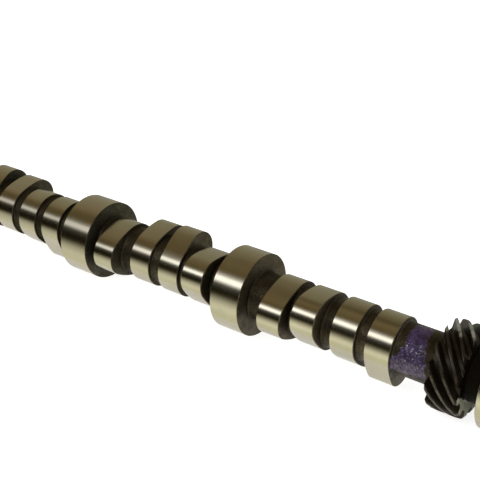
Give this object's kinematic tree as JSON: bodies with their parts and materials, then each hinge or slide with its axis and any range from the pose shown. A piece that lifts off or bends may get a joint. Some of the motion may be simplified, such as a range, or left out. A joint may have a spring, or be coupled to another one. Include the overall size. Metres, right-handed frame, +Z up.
{
  "type": "camshaft",
  "caption": "Camshaft with round bearing journals, ground valve lobes, a helical drive gear and a pinned nose for a timing sprocket.",
  "frame": {"origin": "on the shaft's axis, in the face that the timing sprocket bolts against", "axes": "+X along the shaft from the sprocket end to the rear end, +Z up as the shaft lies on its journals"},
  "size_m": [0.4246, 0.0474, 0.0474],
  "materials": {
    "ground_steel": "ground journals and lobes, dark oxide between them",
    "dowel_steel": "ground bright"
  },
  "bodies": {
    "root": {"camshaft": "ground_steel", "sprocket_dowel": "dowel_steel"}
  },
  "joints": []
}
